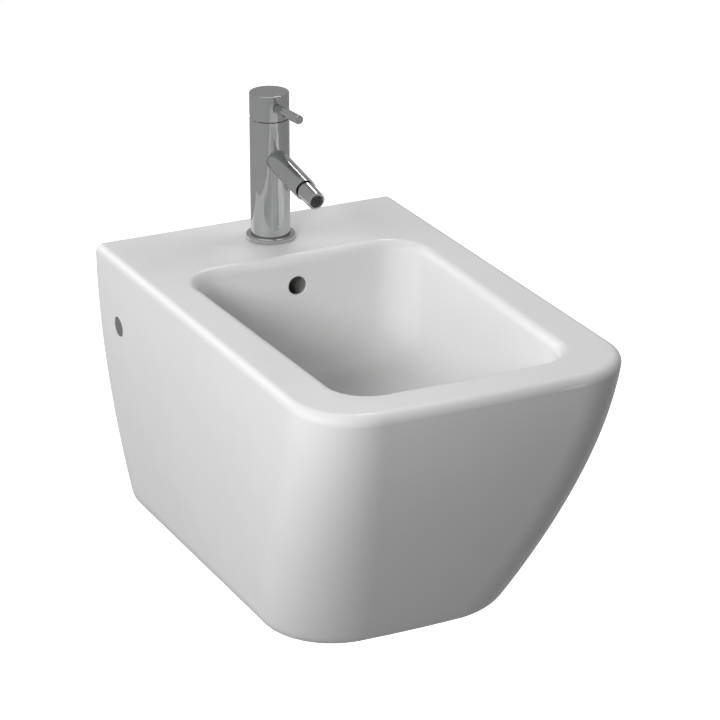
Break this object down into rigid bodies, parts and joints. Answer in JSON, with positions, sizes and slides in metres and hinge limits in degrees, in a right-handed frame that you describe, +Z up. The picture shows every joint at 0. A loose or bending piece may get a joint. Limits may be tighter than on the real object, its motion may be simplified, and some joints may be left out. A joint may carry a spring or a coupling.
{
  "type": "wall-hung bidet",
  "caption": "Wall-hung glazed bidet with a rectangular tapering bowl, a single-lever pin-handle mixer with a swivel nozzle, an overflow, a push plug and hidden wall brackets.",
  "frame": {"origin": "on the wall plane, midway between the two wall studs", "axes": "+Z up, +Y into the wall, +X along the wall to the right of someone facing it"},
  "size_m": [0.3598, 0.5613, 0.4965],
  "materials": {
    "glazed_white": "white glaze, glossy",
    "chrome_plate": "bright chrome on brass",
    "chrome_plastic": "chrome-coated plastic",
    "zinc_steel": "zinc-plated steel",
    "bare_brass": "bare brass",
    "black_rubber": "black rubber",
    "valve_ceramic": "lapped ceramic",
    "white_nylon": "moulded plastic, pale",
    "grey_plastic": "moulded plastic, dark"
  },
  "bodies": {
    "bidet": {"ceramic_body": "glazed_white", "base_ring": "chrome_plate", "mixer_body": "chrome_plate", "swivel_ring": "chrome_plate", "dome_cover": "chrome_plate", "waste_flange": "chrome_plate", "waste_tail": "chrome_plate", "left_side_cap": "chrome_plastic", "right_side_cap": "chrome_plastic", "left_wall_bracket": "zinc_steel", "right_wall_bracket": "zinc_steel", "bracket_washers": "zinc_steel", "bracket_nuts": "zinc_steel", "side_screw_washers": "zinc_steel", "side_screws": "zinc_steel", "fixing_stud": "zinc_steel", "horseshoe_steel": "zinc_steel", "plug_spring": "zinc_steel", "fixing_nut": "bare_brass", "cartridge_nut": "bare_brass", "back_nut": "bare_brass", "base_seal": "black_rubber", "horseshoe_rubber": "black_rubber", "port_seals": "black_rubber", "flange_seal": "black_rubber", "lower_seal": "black_rubber", "fixed_disc": "valve_ceramic", "cartridge_base": "white_nylon", "cartridge_housing": "white_nylon", "lower_washer": "white_nylon", "plug_guide": "white_nylon"},
    "handle": {"handle_cap": "chrome_plate", "lever_pin": "chrome_plate", "grub_screw": "zinc_steel", "grub_plug": "chrome_plastic", "lever_stem": "bare_brass"},
    "turret": {"stem_turret": "white_nylon", "stem_pin": "zinc_steel"},
    "valve_disc": {"moving_disc": "valve_ceramic", "disc_carrier": "white_nylon"},
    "slip_ring": {"ball_seal": "black_rubber"},
    "nozzle": {"swivel_nozzle": "chrome_plate", "aerator_insert": "grey_plastic", "aerator_seal": "black_rubber"},
    "plug": {"plug_cap": "chrome_plate", "plug_seal": "black_rubber", "plug_spindle": "bare_brass"}
  },
  "joints": [
    {"name": "temperature_turn", "type": "hinge", "parent": "bidet", "child": "turret", "pos_m": [0, -0.063, 0.203], "axis": [0, 0, 1], "range_deg": [-50, 50]},
    {"name": "flow_tilt", "type": "hinge", "parent": "turret", "child": "handle", "pos_m": [0, -0.063, 0.203], "axis": [-1, 0, 0], "range_deg": [0, 25]},
    {"name": "disc_slide", "type": "slide", "parent": "turret", "child": "valve_disc", "axis": [0, -1, 0], "range_m": [0, 0.0042]},
    {"name": "nozzle_turn", "type": "hinge", "parent": "bidet", "child": "slip_ring", "pos_m": [0, -0.14937, 0.16021], "axis": [0, -0.9871, -0.1599], "continuous": true},
    {"name": "nozzle_tilt", "type": "hinge", "parent": "slip_ring", "child": "nozzle", "pos_m": [0, -0.14937, 0.16021], "axis": [1, 0, 0], "range_deg": [-9, 9]},
    {"name": "plug_travel", "type": "slide", "parent": "bidet", "child": "plug", "axis": [0, 0, 1], "range_m": [-0.008, 0], "stiffness_N_per_m": 600, "springref_m": 0.01, "deforming": ["plug_spring"]}
  ],
  "couplings": [
    {"joint": "disc_slide", "follows": "flow_tilt", "m_per_rad": 0.00925}
  ]
}
